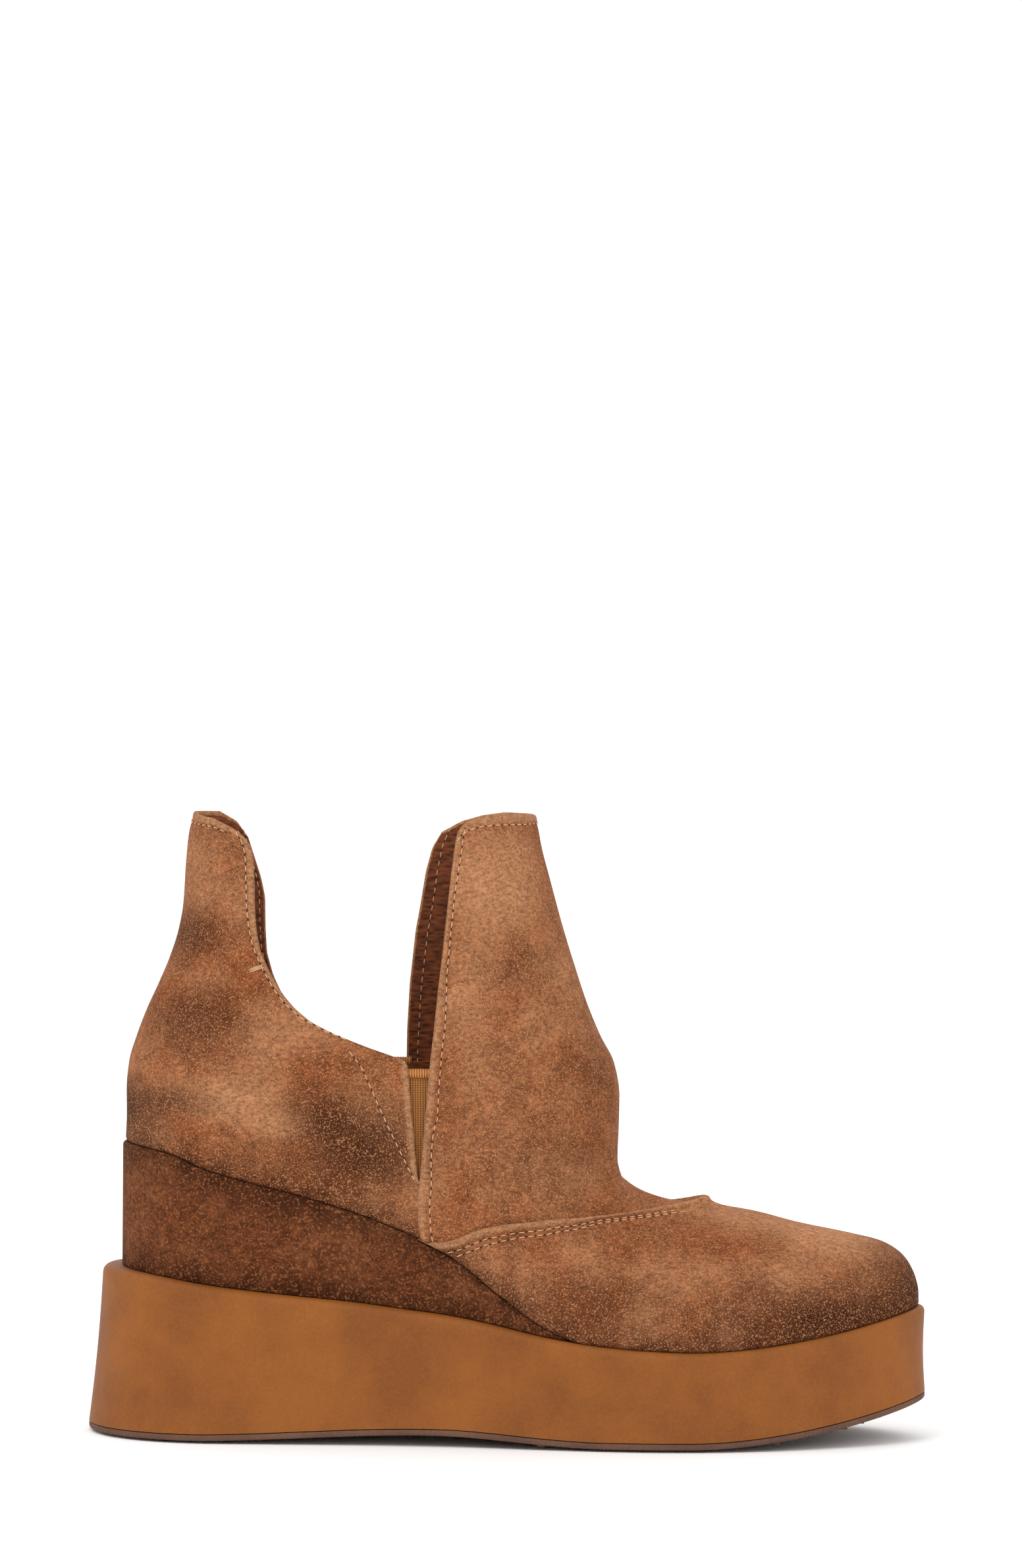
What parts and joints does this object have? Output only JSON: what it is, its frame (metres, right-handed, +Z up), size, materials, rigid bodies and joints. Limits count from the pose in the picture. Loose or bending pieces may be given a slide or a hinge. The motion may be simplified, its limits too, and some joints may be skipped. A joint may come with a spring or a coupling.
{
  "type": "wedge ankle boot",
  "caption": "Open-sided suede wedge ankle boot, right foot: hollow upper with a heel tab, a tall front and elastic gores, on a wrapped wedge, a flared platform and a thin outsole.",
  "frame": {"origin": "on the floor, under the middle of the sole's length and breadth", "axes": "+X to the toe, +Y to the inner (medial) side, +Z up"},
  "size_m": [0.2642, 0.0944, 0.1967],
  "materials": {
    "rubber": "matte, finely ribbed edge",
    "foam": "matte, fine grained",
    "dark_suede": "burnished suede",
    "suede": "burnished suede",
    "lining": "smooth lining leather",
    "elastic": "ribbed elastic"
  },
  "bodies": {
    "root": {"outsole": "rubber", "platform": "foam", "wedge": "dark_suede", "insole": "lining", "upper": "suede", "gore_lateral": "elastic", "gore_medial": "elastic"}
  },
  "joints": []
}
